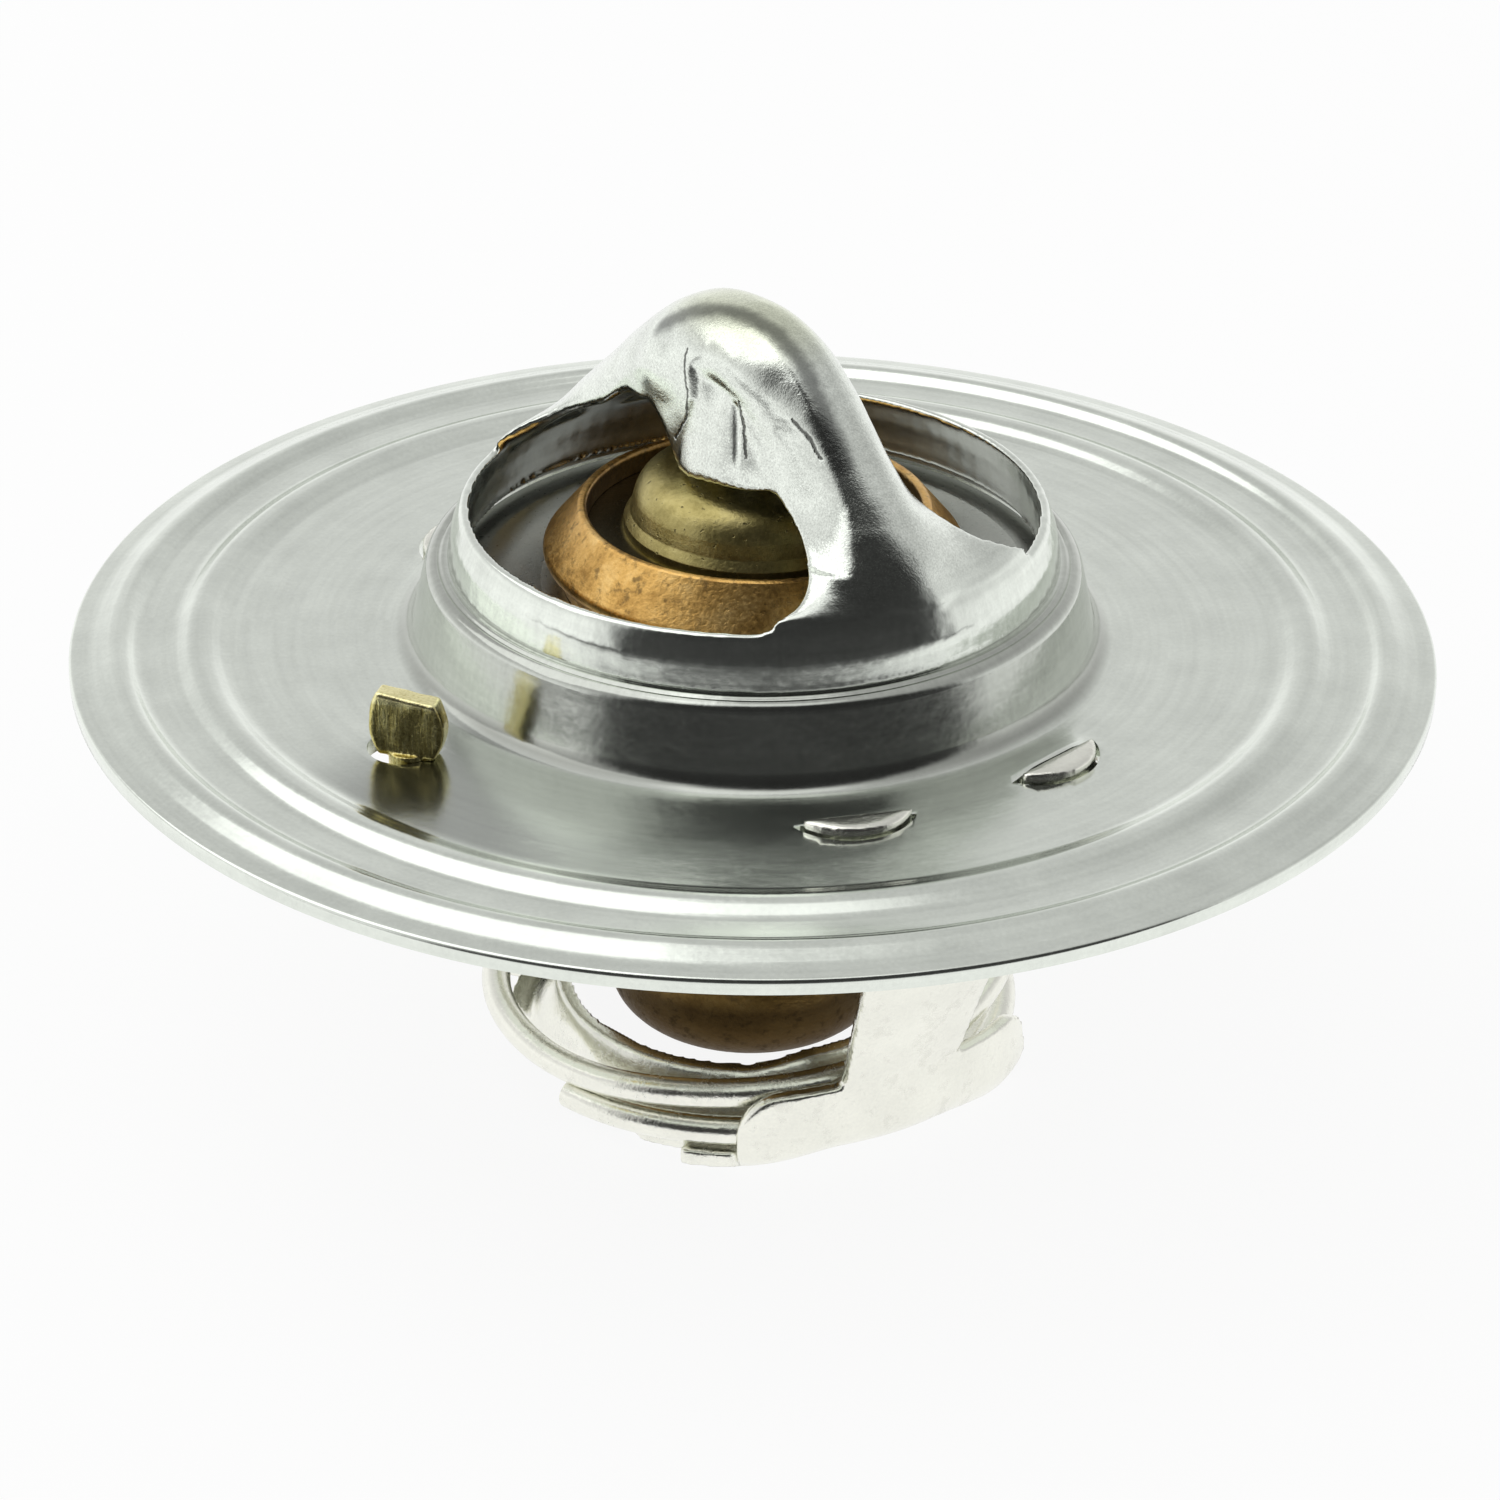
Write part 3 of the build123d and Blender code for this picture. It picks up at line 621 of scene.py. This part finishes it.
neckAndBridge = {
    "voxel": 0.148,
    "cutHeight": 4.0,       # the disc carries on below
    "cutReach": 0.0001,     # points this near to the cut count as on it
    "tuck": 0.55,           # how far the neck reaches into the disc's sheet
    "smoothing": 8,
    "smoothAbove": 5.6,
    "crown": 16.6,
    "crownBend": 8.2,
    "flankSlope": 38,
    "footRounds": 420,      # how far the feet flow into the skirts
    "footAlong": (5.0, 8.5),
    "footAway": (0.35, 1.5),        # from the windows' edge
    "footRise": (6.7, 7.8),
    # places on a side wall are (along the bridge, height)
    "edge": [(-11.9, 6.0), (-11.2, 7.0), (-9.7, 8.3), (-7.8, 9.2), (-5.5, 10.5), (-4.2, 10.6), (-2.6, 10.3),
             (-1.9, 9.5), (-1.4, 8.85), (-0.4, 8.65), (2.9, 9.3), (5.0, 9.9), (6.6, 10.35), (7.6, 9.9),
             (9.5, 8.0), (11.9, 6.0)],
    # the strap as a whole
    "strapFoot": 7.0,       # nothing below or beyond these is pressed
    "strapReach": 13.4,
    "farSide": 0.72,        # the back wall stands nearer to the middle
    "farRise": (7.0, 10.5),
    "leftFull": 0.42,       # the left flank is fuller
    "leftSpan": (0.5, 5.5, 7.0, 12.5),
    "leftRise": (8.0, 12.0),
    "crownFall": 0.25,
    "crownRise": (12.0, 16.0),
    # the panel pressed in over the piston pin, between two folds
    "nearSide": -0.5,
    "panelFoot": 8.2,
    "panelDepth": 0.75,     # leaves room for the piston pin
    "flare": 0.35,          # the lower lip of the panel stands out
    "panelHeights": (8.8, 13.8),
    "panelAside": (0.5, 1.8),
    "panelRise": (8.2, 8.8),
    "leftFold": [(0.1, 15.3), (-0.3, 14.2), (-0.1, 12.5), (-0.8, 10.1), (-1.2, 8.0)],
    "foldEdge": (-0.15, 0.3),       # part of the depth comes at once, at the fold
    "foldShare": 0.45,
    "foldReach": (0.0, 1.5),
    "rightFold": [(0.1, 15.3), (2.2, 14.9), (4.6, 13.7), (6.4, 12.2), (7.6, 10.4), (8.0, 9.0)],
    "rightReach": (-0.7, 2.0),
    "backBend": 3.2,        # near the crest the push turns downwards
    "swells": [((-3.2, 12.9), 2.2, -0.28), ((-6.4, 10.4), 1.6, 0.12)],    # place, reach, depth
    "creaseWidth": 0.36,
    "creaseDepths": (0.07, 0.06),       # of the first hairlines
    # the ridge where the near side leans in to meet the back: (along, across)
    "ridge": [(1.0, -1.3), (4.5, -1.1), (6.5, -1.3), (7.9, -1.5), (9.7, -1.8), (11.1, -2.4), (12.1, -2.9),
              (13.0, -3.4)],
    "legFace": -3.6,        # where the right leg's near face stands
    "legBack": 1.5,         # it slants away from the ridge, straight back from where one looks
    "legCurve": 1.3,
    "legSpan": (1.0, 6.6, 8.6, 13.2),
    "legRise": (6.8, 11.0),
    "lookFrom": (0.0, -0.878, 0.478),
    # wander of the surface: reach, depth, and the heights between which it fades in
    "wear": [(3.1, 0.05, (6.6, 8.5)), (1.3, 0.02, (5.0, 8.0))],
    "lastSmoothing": 0.3,
}


def strapFrame(spot):
    # along the bridge, across it towards the back, and height, in millimetres
    turn = math.radians(bridgeAzimuth)
    return (spot.x * math.cos(turn) + spot.y * math.sin(turn),
            spot.y * math.cos(turn) - spot.x * math.sin(turn), spot.z)


def crestHeight(along):
    slope = math.radians(neckAndBridge["flankSlope"])
    bend = neckAndBridge["crownBend"]
    centre = neckAndBridge["crown"] - bend
    if abs(along) < bend * math.sin(slope):
        return centre + math.sqrt(bend * bend - along * along)
    return centre + bend * math.cos(slope) - (abs(along) - bend * math.sin(slope)) * math.tan(slope)


def lineDistance(spot, line):
    # distance to a bent line and on which side of it the spot lies; at a corner the first stretch counts
    tie = 1e-6
    best = (math.inf, 1.0)
    for (x0, z0), (x1, z1) in zip(line, line[1:]):
        dx, dz = x1 - x0, z1 - z0
        share = clamped(((spot[0] - x0) * dx + (spot[1] - z0) * dz) / (dx * dx + dz * dz))
        away = math.hypot(spot[0] - x0 - share * dx, spot[1] - z0 - share * dz)
        if away < best[0] - tie:
            best = (away, 1.0 if dx * (spot[1] - z0) - dz * (spot[0] - x0) > 0 else -1.0)
    return best


def wallDepth(place):
    # how far the side wall is pressed in at (along the bridge, height)
    settings = neckAndBridge
    left, leftSide = lineDistance(place, settings["leftFold"])
    right, rightSide = lineDistance(place, settings["rightFold"])
    fromLeft, fromRight = left * leftSide, -right * rightSide
    low, high = settings["panelHeights"]
    flare, fold = settings["flare"], settings["foldShare"]
    full = (settings["panelDepth"] + flare) * clamped((place[1] - low) / (high - low)) - flare
    share = fold * ease(fromLeft, *settings["foldEdge"])
    share += (1 - fold) * ease(fromLeft, *settings["foldReach"])
    depth = full * share * ease(fromRight, *settings["rightReach"])
    for centre, reach, amount in settings["swells"]:
        depth += amount * (1 - ease(math.dist(place, centre), 0.0, reach))
    for line, amount in zip(strapCreases["lines"], settings["creaseDepths"]):
        depth += amount * (1 - ease(lineDistance(place, line)[0], 0.0, settings["creaseWidth"]))
    return depth


def ridgeAside(along):
    ridge = neckAndBridge["ridge"]
    for (s0, w0), (s1, w1) in zip(ridge, ridge[1:]):
        if along <= s1:
            return w0 + (w1 - w0) * clamped((along - s0) / (s1 - s0))
    return ridge[-1][1]


def legSlant(along, aside, height):
    # how far the right leg's near face is pushed back
    settings = neckAndBridge
    ridge = ridgeAside(along)
    share = clamped((ridge - aside) / (ridge - settings["legFace"]))
    return (settings["legBack"] * share ** settings["legCurve"] * span(along, *settings["legSpan"])
            * ease(height, *settings["legRise"]))


def pressStrap(bm):
    settings = neckAndBridge
    turn = math.radians(bridgeAzimuth)
    across = Vector((-math.sin(turn), math.cos(turn), 0))
    for vert in bm.verts:
        along, aside, height = strapFrame(vert.co / mm)
        if height < settings["strapFoot"] or abs(along) > settings["strapReach"]:
            continue
        if aside > 0:
            vert.co -= across * aside * (1 - settings["farSide"]) * ease(height, *settings["farRise"]) * mm
        full = span(-along, *settings["leftSpan"]) * ease(height, *settings["leftRise"])
        fall = ease(height, *settings["crownRise"])
        vert.co.z += (settings["leftFull"] * full - settings["crownFall"] * fall) * mm
        if aside > settings["nearSide"] or height < settings["panelFoot"]:
            continue
        depth = wallDepth((along, height))
        depth *= ease(abs(aside), *settings["panelAside"]) * ease(height, *settings["panelRise"])
        tilt = clamped((height - crestHeight(along)) / settings["backBend"] + 1) * math.pi / 2
        vert.co += (across * math.cos(tilt) - Vector((0, 0, math.sin(tilt)))) * depth * mm
        vert.co -= Vector(settings["lookFrom"]) * legSlant(along, aside, height) * mm


def footWeight(spot):
    settings = neckAndBridge
    along, aside, height = strapFrame(spot)
    side = 1 if aside > 0 else -1       # the windows' edge is the same, turned half round
    away = lineDistance((-along * side, height), settings["edge"])[0]
    return (ease(abs(along), *settings["footAlong"]) * ease(away, *settings["footAway"])
            * ease(height, *settings["footRise"]))


def addNeckAndBridge():
    settings = neckAndBridge
    bm = nodeCopy("flange_and_bridge")
    bmesh.ops.bisect_plane(bm, geom=everything(bm), dist=settings["cutReach"] * mm, plane_no=(0, 0, 1),
                           plane_co=(0, 0, settings["cutHeight"] * mm), clear_inner=True)
    hem = bmesh.ops.extrude_edge_only(bm, edges=openEdges(bm))
    lowered = [part for part in hem["geom"] if isinstance(part, bmesh.types.BMVert)]
    bmesh.ops.translate(bm, verts=lowered, vec=(0, 0, -settings["tuck"] * mm))
    bmesh.ops.bridge_loops(bm, edges=openEdges(bm))
    bmesh.ops.recalc_face_normals(bm, faces=bm.faces)
    bm = remeshed(bm, settings["voxel"])
    for _ in range(settings["smoothing"]):
        smoothed(bm, [vert for vert in bm.verts if vert.co.z > settings["smoothAbove"] * mm])
    relax(bm, [footWeight(vert.co / mm) for vert in bm.verts], settings["footRounds"])
    pressStrap(bm)
    for reach, depth, heights in settings["wear"]:
        unevenness(bm, reach, depth, lambda height: ease(height, *heights))
    smoothed(bm, bm.verts, settings["lastSmoothing"])
    piece = meshObject("neckAndBridge", bm, steel, sharpAngle=noSharpEdges)
    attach(piece, "housing")
    return piece


# flange disc: spun sheet with two pressed rings, four slots and the vent hole

flangeDisc = {
    "steps": 320,
    "cornerSteps": 6,
    "sheet": 0.8,
    # (radius, height, how far the corner's rounding reaches)
    "rimProfile": [(32.0, -0.78, 0.0), (32.0, -0.09, 0.18), (31.0, 0.0, 0.25), (29.95, 0.44, 0.25),
                   (29.4, 0.44, 0.25), (28.85, 0.0, 0.25), (27.15, 0.0, 0.25), (26.35, 0.44, 0.25),
                   (25.6, 0.44, 0.3), (24.8, 0.0, 0.3)],
    "flatRadii": [22.6, 21.9, 21.2, 20.5, 19.8, 19.1, 18.5, 17.9, 17.3],    # points for the lifted sheet
    "neckProfile": [(16.16, 0.0, 0.8), (15.32, 3.66, 0.3), (14.86, 3.84, 0.1), (14.72, 3.76, 0.08),
                    (14.55, 3.88, 0.08), (14.36, 3.86, 0.1), (14.2, 3.9, 0.0)],
    "ventHole": (-141.5, 19.93, 1.65),      # azimuth, radius out, hole radius
    # azimuth, outermost radius, bend, depth, and how high the sheet is lifted on the slot's inner side
    "slots": [(-76.3, 20.78, 2.95, 1.45, 0.10), (-44.3, 20.43, 2.95, 1.45, 0.34),
              (122.0, 18.33, 2.95, 1.45, 0.15), (149.0, 18.33, 2.95, 1.45, 0.15)],
    "slotGap": 0.15,
    # how the lift dies away inwards, outwards and to the sides; the neck's wall stays
    "liftIn": (0.2, 1.9),
    "liftOut": (0.0, 0.5),
    "liftAside": (1.0, 3.1),
    "liftBelow": 0.5,
    "drillSteps": 96,
    "drillLength": 6,
    "edgeBevel": 0.07,
    "sharpAngle": 50,
}


def drill(radius, place):
    bm = bmesh.new()
    bmesh.ops.create_cone(bm, cap_ends=True, segments=flangeDisc["drillSteps"], radius1=radius * mm,
                          radius2=radius * mm, depth=flangeDisc["drillLength"] * mm)
    bmesh.ops.translate(bm, verts=bm.verts, vec=place)
    return bm


def ventDrill():
    azimuth, out, radius = flangeDisc["ventHole"]
    turn = math.radians(azimuth)
    return drill(radius, Vector((out * math.cos(turn), out * math.sin(turn), 0)) * mm)


def slotCutter(azimuth, outermost, bend, depth):
    # round outside and flat inside, as the lugs are
    gap = flangeDisc["slotGap"]
    bm = drill(bend + gap, ((outermost - bend) * mm, 0, 0))
    bmesh.ops.bisect_plane(bm, geom=everything(bm), plane_co=((outermost - depth - gap) * mm, 0, 0),
                           plane_no=(1, 0, 0), clear_inner=True)
    bmesh.ops.holes_fill(bm, edges=openEdges(bm))
    turn = Matrix.Rotation(math.radians(azimuth), 3, "Z")
    bmesh.ops.rotate(bm, verts=bm.verts, cent=(0, 0, 0), matrix=turn)
    return bm


def cutAway(piece, cutters):
    for bm in cutters:
        bmesh.ops.recalc_face_normals(bm, faces=bm.faces)
        tool = meshObject("tool", bm, None, smooth=False)
        addModifier(piece, "BOOLEAN", operation="DIFFERENCE", solver="EXACT", object=tool)
        bakeModifiers(piece)
        bpy.data.objects.remove(tool)


def liftBeside(bm, azimuth, innermost, lift):
    # the sheet is torn up a little on a slot's inner side
    settings = flangeDisc
    turn = math.radians(azimuth)
    for vert in bm.verts:
        out = (vert.co.x * math.cos(turn) + vert.co.y * math.sin(turn)) / mm
        aside = (vert.co.y * math.cos(turn) - vert.co.x * math.sin(turn)) / mm
        near = innermost - out
        if vert.co.z < settings["liftBelow"] * mm:
            height = (1 - ease(near, *settings["liftIn"])) * (1 - ease(-near, *settings["liftOut"]))
            vert.co.z += lift * height * (1 - ease(abs(aside), *settings["liftAside"])) * mm


def addFlangeDisc():
    settings = flangeDisc
    flat = [(radius, 0.0, 0.0) for radius in settings["flatRadii"]]
    bm = bmesh.new()
    outline(bm, settings["rimProfile"] + flat + settings["neckProfile"], settings["cornerSteps"])
    turnRound(bm, settings["steps"])
    if sum(face.normal.z * face.calc_area() for face in bm.faces) < 0:
        bmesh.ops.reverse_faces(bm, faces=bm.faces)
    for azimuth, outermost, bend, depth, lift in settings["slots"]:
        liftBeside(bm, azimuth, outermost - depth, lift)
    piece = meshObject("flangeDisc", bm, steel, sharpAngle=settings["sharpAngle"])
    addModifier(piece, "SOLIDIFY", thickness=settings["sheet"] * mm, offset=-1)
    bakeModifiers(piece)
    cutAway(piece, [slotCutter(*slot[:4]) for slot in settings["slots"]] + [ventDrill()])
    addModifier(piece, "BEVEL", width=settings["edgeBevel"] * mm, segments=2, limit_method="ANGLE",
                angle_limit=math.radians(settings["sharpAngle"]), profile=0.5, material=-1)
    bakeModifiers(piece)
    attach(piece, "housing")
    return piece


neck = addNeckAndBridge()
disc = addFlangeDisc()
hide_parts("flange_and_bridge")
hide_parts("flange_and_bridge")
print("neck, bridge and flange made")


# lower frame: sheared and folded sheet with softened edges

lowerFrame = {
    "voxel": 0.18,
    "smoothing": 2,
    "endLift": 0.75,        # the right end of the front band is folded a little higher
    "endSpan": (-92, -70, -50, -28),    # azimuths
    "endHeights": (-20.5, -15.0),
    "wave": (4.2, 0.10),    # reach and depth
    "waveHeights": (-4.0, -1.5),        # it dies away towards the flange
}


def addLowerFrame():
    settings = lowerFrame
    bm = nodeCopy("lower_frame")
    bmesh.ops.recalc_face_normals(bm, faces=bm.faces)
    bm = remeshed(bm, settings["voxel"])
    for _ in range(settings["smoothing"]):
        smoothed(bm, bm.verts)
    for vert in bm.verts:
        turn = math.degrees(math.atan2(vert.co.y, vert.co.x))
        low = 1 - ease(vert.co.z / mm, *settings["endHeights"])
        vert.co.z += settings["endLift"] * low * span(turn, *settings["endSpan"]) * mm
    unevenness(bm, *settings["wave"], lambda height: 1 - ease(height, *settings["waveHeights"]))
    piece = meshObject("lowerFrame", bm, bright, sharpAngle=noSharpEdges)
    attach(piece, "housing")
    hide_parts("lower_frame")


addLowerFrame()
print("lower frame made")


# main spring: the imported wire

mainSpring = {
    "joint": "valve_lift",
    "footHeight": -21.2,    # where the spring's foot sits on the frame
    "sharpAngle": 60,
}


def addMainSpring():
    settings = mainSpring
    bm = nodeCopy("main_spring")
    bmesh.ops.recalc_face_normals(bm, faces=bm.faces)
    piece = meshObject("mainSpring", bm, bright, sharpAngle=settings["sharpAngle"])
    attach(piece, "housing")
    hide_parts("main_spring")
    joint = next(row for row in frame["joints"] if row["name"] == settings["joint"])
    foot = settings["footHeight"] * mm
    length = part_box("main_spring")[1].z - foot
    1 - joint["range_m"][1] / length
    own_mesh(piece)


addMainSpring()
print("main spring made")


# vent pin: peened flat head, loose in its hole

ventPin = {
    "voxel": 0.07,
    "topSlope": 0.13,       # the head was struck a little askew
    "headHeights": (1.2, 2.9),
    "wave": (0.9, 0.05),    # reach and depth
    "waveHeights": (0.3, 0.8),
}


def addVentPin():
    settings = ventPin
    bm = nodeCopy("jiggle_pin")
    bmesh.ops.recalc_face_normals(bm, faces=bm.faces)
    bm = remeshed(bm, settings["voxel"])
    centre = sum((vert.co for vert in bm.verts), Vector()) / len(bm.verts)
    for vert in bm.verts:
        high = ease(vert.co.z / mm, *settings["headHeights"])
        vert.co.z -= (vert.co.x - centre.x) * settings["topSlope"] * high
    unevenness(bm, *settings["wave"], lambda height: ease(height, *settings["waveHeights"]))
    piece = meshObject("ventPin", bm, pinBrass, sharpAngle=noSharpEdges)
    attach(piece, "vent")
    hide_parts("jiggle_pin")


addVentPin()
print("vent pin made")


# camera, light and floor

view = {
    "place": (-0.08, -195.98, 100.13),      # millimetres
    "elevation": 28.6,
    "roll": 0.68,
    "lens": 112.03,
    "sensor": 36,
    "clipStart": 10,        # millimetres
}


def addCamera():
    pitch = math.radians(view["elevation"])
    roll = math.radians(view["roll"])
    right = Vector((math.cos(roll), math.sin(roll) * math.sin(pitch), math.sin(roll) * math.cos(pitch)))
    up = Vector((-math.sin(roll), math.cos(roll) * math.sin(pitch), math.cos(roll) * math.cos(pitch)))
    ahead = Vector((0, math.cos(pitch), -math.sin(pitch)))
    camera = bpy.data.objects.new("camera", bpy.data.cameras.new("camera"))
    camera.data.sensor_width = view["sensor"]
    camera.data.lens = view["lens"]
    camera.data.clip_start = view["clipStart"] * mm
    turn = Matrix((right, up, -ahead)).transposed().to_4x4()
    camera.matrix_world = Matrix.Translation(Vector(view["place"]) * mm) @ turn
    bpy.context.scene.collection.objects.link(camera)
    bpy.context.scene.camera = camera


studio = {
    "skyLight": 0.75,       # world strength on matt surfaces
    "darkAzimuth": -80,     # metal sees a dark room behind the camera
    "darkLevel": 0.05,
    "darkEdges": (0.0, 0.25),
    "darkSides": (0.38, 0.35),      # how fast it ends to the left and right
    # how far sideways a direction points, from and to, and the levels there
    "leftGlow": (-0.2, -0.9, 0.0, 0.05),
    "rightShade": (0.15, 0.7, 1.0, 0.90),
    # sine of elevation, strength
    "levels": [(-0.3, 1.0), (0.1, 1.0), (0.3, 0.78), (0.48, 0.68), (0.62, 0.58), (0.955, 0.62), (0.975, 1.1),
               (0.99, 1.2)],
    "levelTop": 2,          # a ramp holds strengths up to 1, so they are halved in it
    "keyPower": 0.5,
    "keySize": 0.45,
    "keyPlace": (-0.25, 0.05, 0.40),
}


def addWorld():
    world = bpy.data.worlds.new("studio")
    world.use_nodes = True
    bpy.context.scene.world = world
    tree = world.node_tree
    tree.nodes.clear()
    output = tree.nodes.new("ShaderNodeOutputWorld")
    rays = ("Is Camera Ray", "Is Glossy Ray", "Is Transmission Ray")
    seen, glossy, through = addReadings(tree, "LightPath", rays)
    direction = addNode(tree, "TexCoord", output="Generated")
    aside, ahead, above = addReadings(tree, "SeparateXYZ", range(3), {0: direction})
    turn = math.radians(studio["darkAzimuth"])
    away = ahead * math.cos(turn) - aside * math.sin(turn)
    leftwards, rightwards = studio["darkSides"]
    towards = aside * math.cos(turn) + ahead * math.sin(turn)
    towards = towards - (away * -leftwards).math("MAXIMUM", away * rightwards)
    mask = softStep(towards, *studio["darkEdges"], 1.0, studio["darkLevel"])
    top = studio["levelTop"]
    stops = [((sine + 1) / 2, level / top) for sine, level in studio["levels"]]
    level = addNode(tree, "ValToRGB", {"stops": stops}, {0: (above + 1) / 2}) * top
    left = softStep(aside, *studio["leftGlow"])
    right = softStep(aside, *studio["rightShade"])
    sharp = glossy.math("MAXIMUM", through)
    mirrored = mask * right * (level + left)
    strength = seen + (1 - seen) * (sharp * mirrored + (1 - sharp) * studio["skyLight"])
    background = addNode(tree, "Background", sockets={"Color": (1, 1, 1, 1), "Strength": strength})
    tree.links.new(background.socket, output.inputs["Surface"])


paleFloor = {
    "size": 3.0,            # metres to each side
    "gap": 0.1,             # millimetres below the object
    "colour": (0.93, 0.93, 0.93, 1),
    "white": 0.9,           # how much of it the camera sees as plain white; the rest takes the shadow
    "glow": 0.95,           # how much of it metal sees as plain white
    "darkReach": (-0.06, -0.20),    # metal sees it go dark in front of the object, metres
    "darkStrength": 0.06,
}


def addFloor():
    look = paleFloor
    bm = bmesh.new()
    bmesh.ops.create_grid(bm, x_segments=1, y_segments=1, size=look["size"])
    low = min(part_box(name)[0].z for name in nodes)
    bmesh.ops.translate(bm, verts=bm.verts, vec=(0, 0, low - look["gap"] * mm))
    material = bpy.data.materials.new("paleFloor")
    material.use_nodes = True
    tree = material.node_tree
    tree.nodes.clear()
    output = tree.nodes.new("ShaderNodeOutputMaterial")
    seen, glossy = addReadings(tree, "LightPath", ("Is Camera Ray", "Is Glossy Ray"))
    place = addNode(tree, "TexCoord", output="Object")
    ahead = addNode(tree, "SeparateXYZ", sockets={0: place}, output=1)
    matt = addNode(tree, "BsdfDiffuse", sockets={"Color": look["colour"]})
    glow, dim = (addNode(tree, "Emission", sockets={"Color": (1, 1, 1, 1), "Strength": strength})
                 for strength in (1.0, look["darkStrength"]))
    mirrored = addNode(tree, "MixShader", sockets={0: softStep(ahead, *look["darkReach"]), 1: glow, 2: dim})
    shown = addNode(tree, "MixShader", sockets={0: seen * look["white"], 1: matt, 2: glow})
    both = addNode(tree, "MixShader", sockets={0: glossy * look["glow"], 1: shown, 2: mirrored})
    tree.links.new(both.socket, output.inputs["Surface"])
    floor = meshObject("floor", bm, material, smooth=False)


def addLamp():
    lamp = bpy.data.objects.new("keyLight", bpy.data.lights.new("keyLight", "AREA"))
    lamp.data.energy = studio["keyPower"]
    lamp.data.size = studio["keySize"]
    lamp.location = studio["keyPlace"]
    lamp.rotation_euler = (-Vector(studio["keyPlace"])).to_track_quat("-Z", "Y").to_euler()
    bpy.context.scene.collection.objects.link(lamp)


addCamera()
addWorld()
addFloor()
addLamp()
bpy.context.scene.view_settings.view_transform = "Standard"
print("camera, light and floor made")
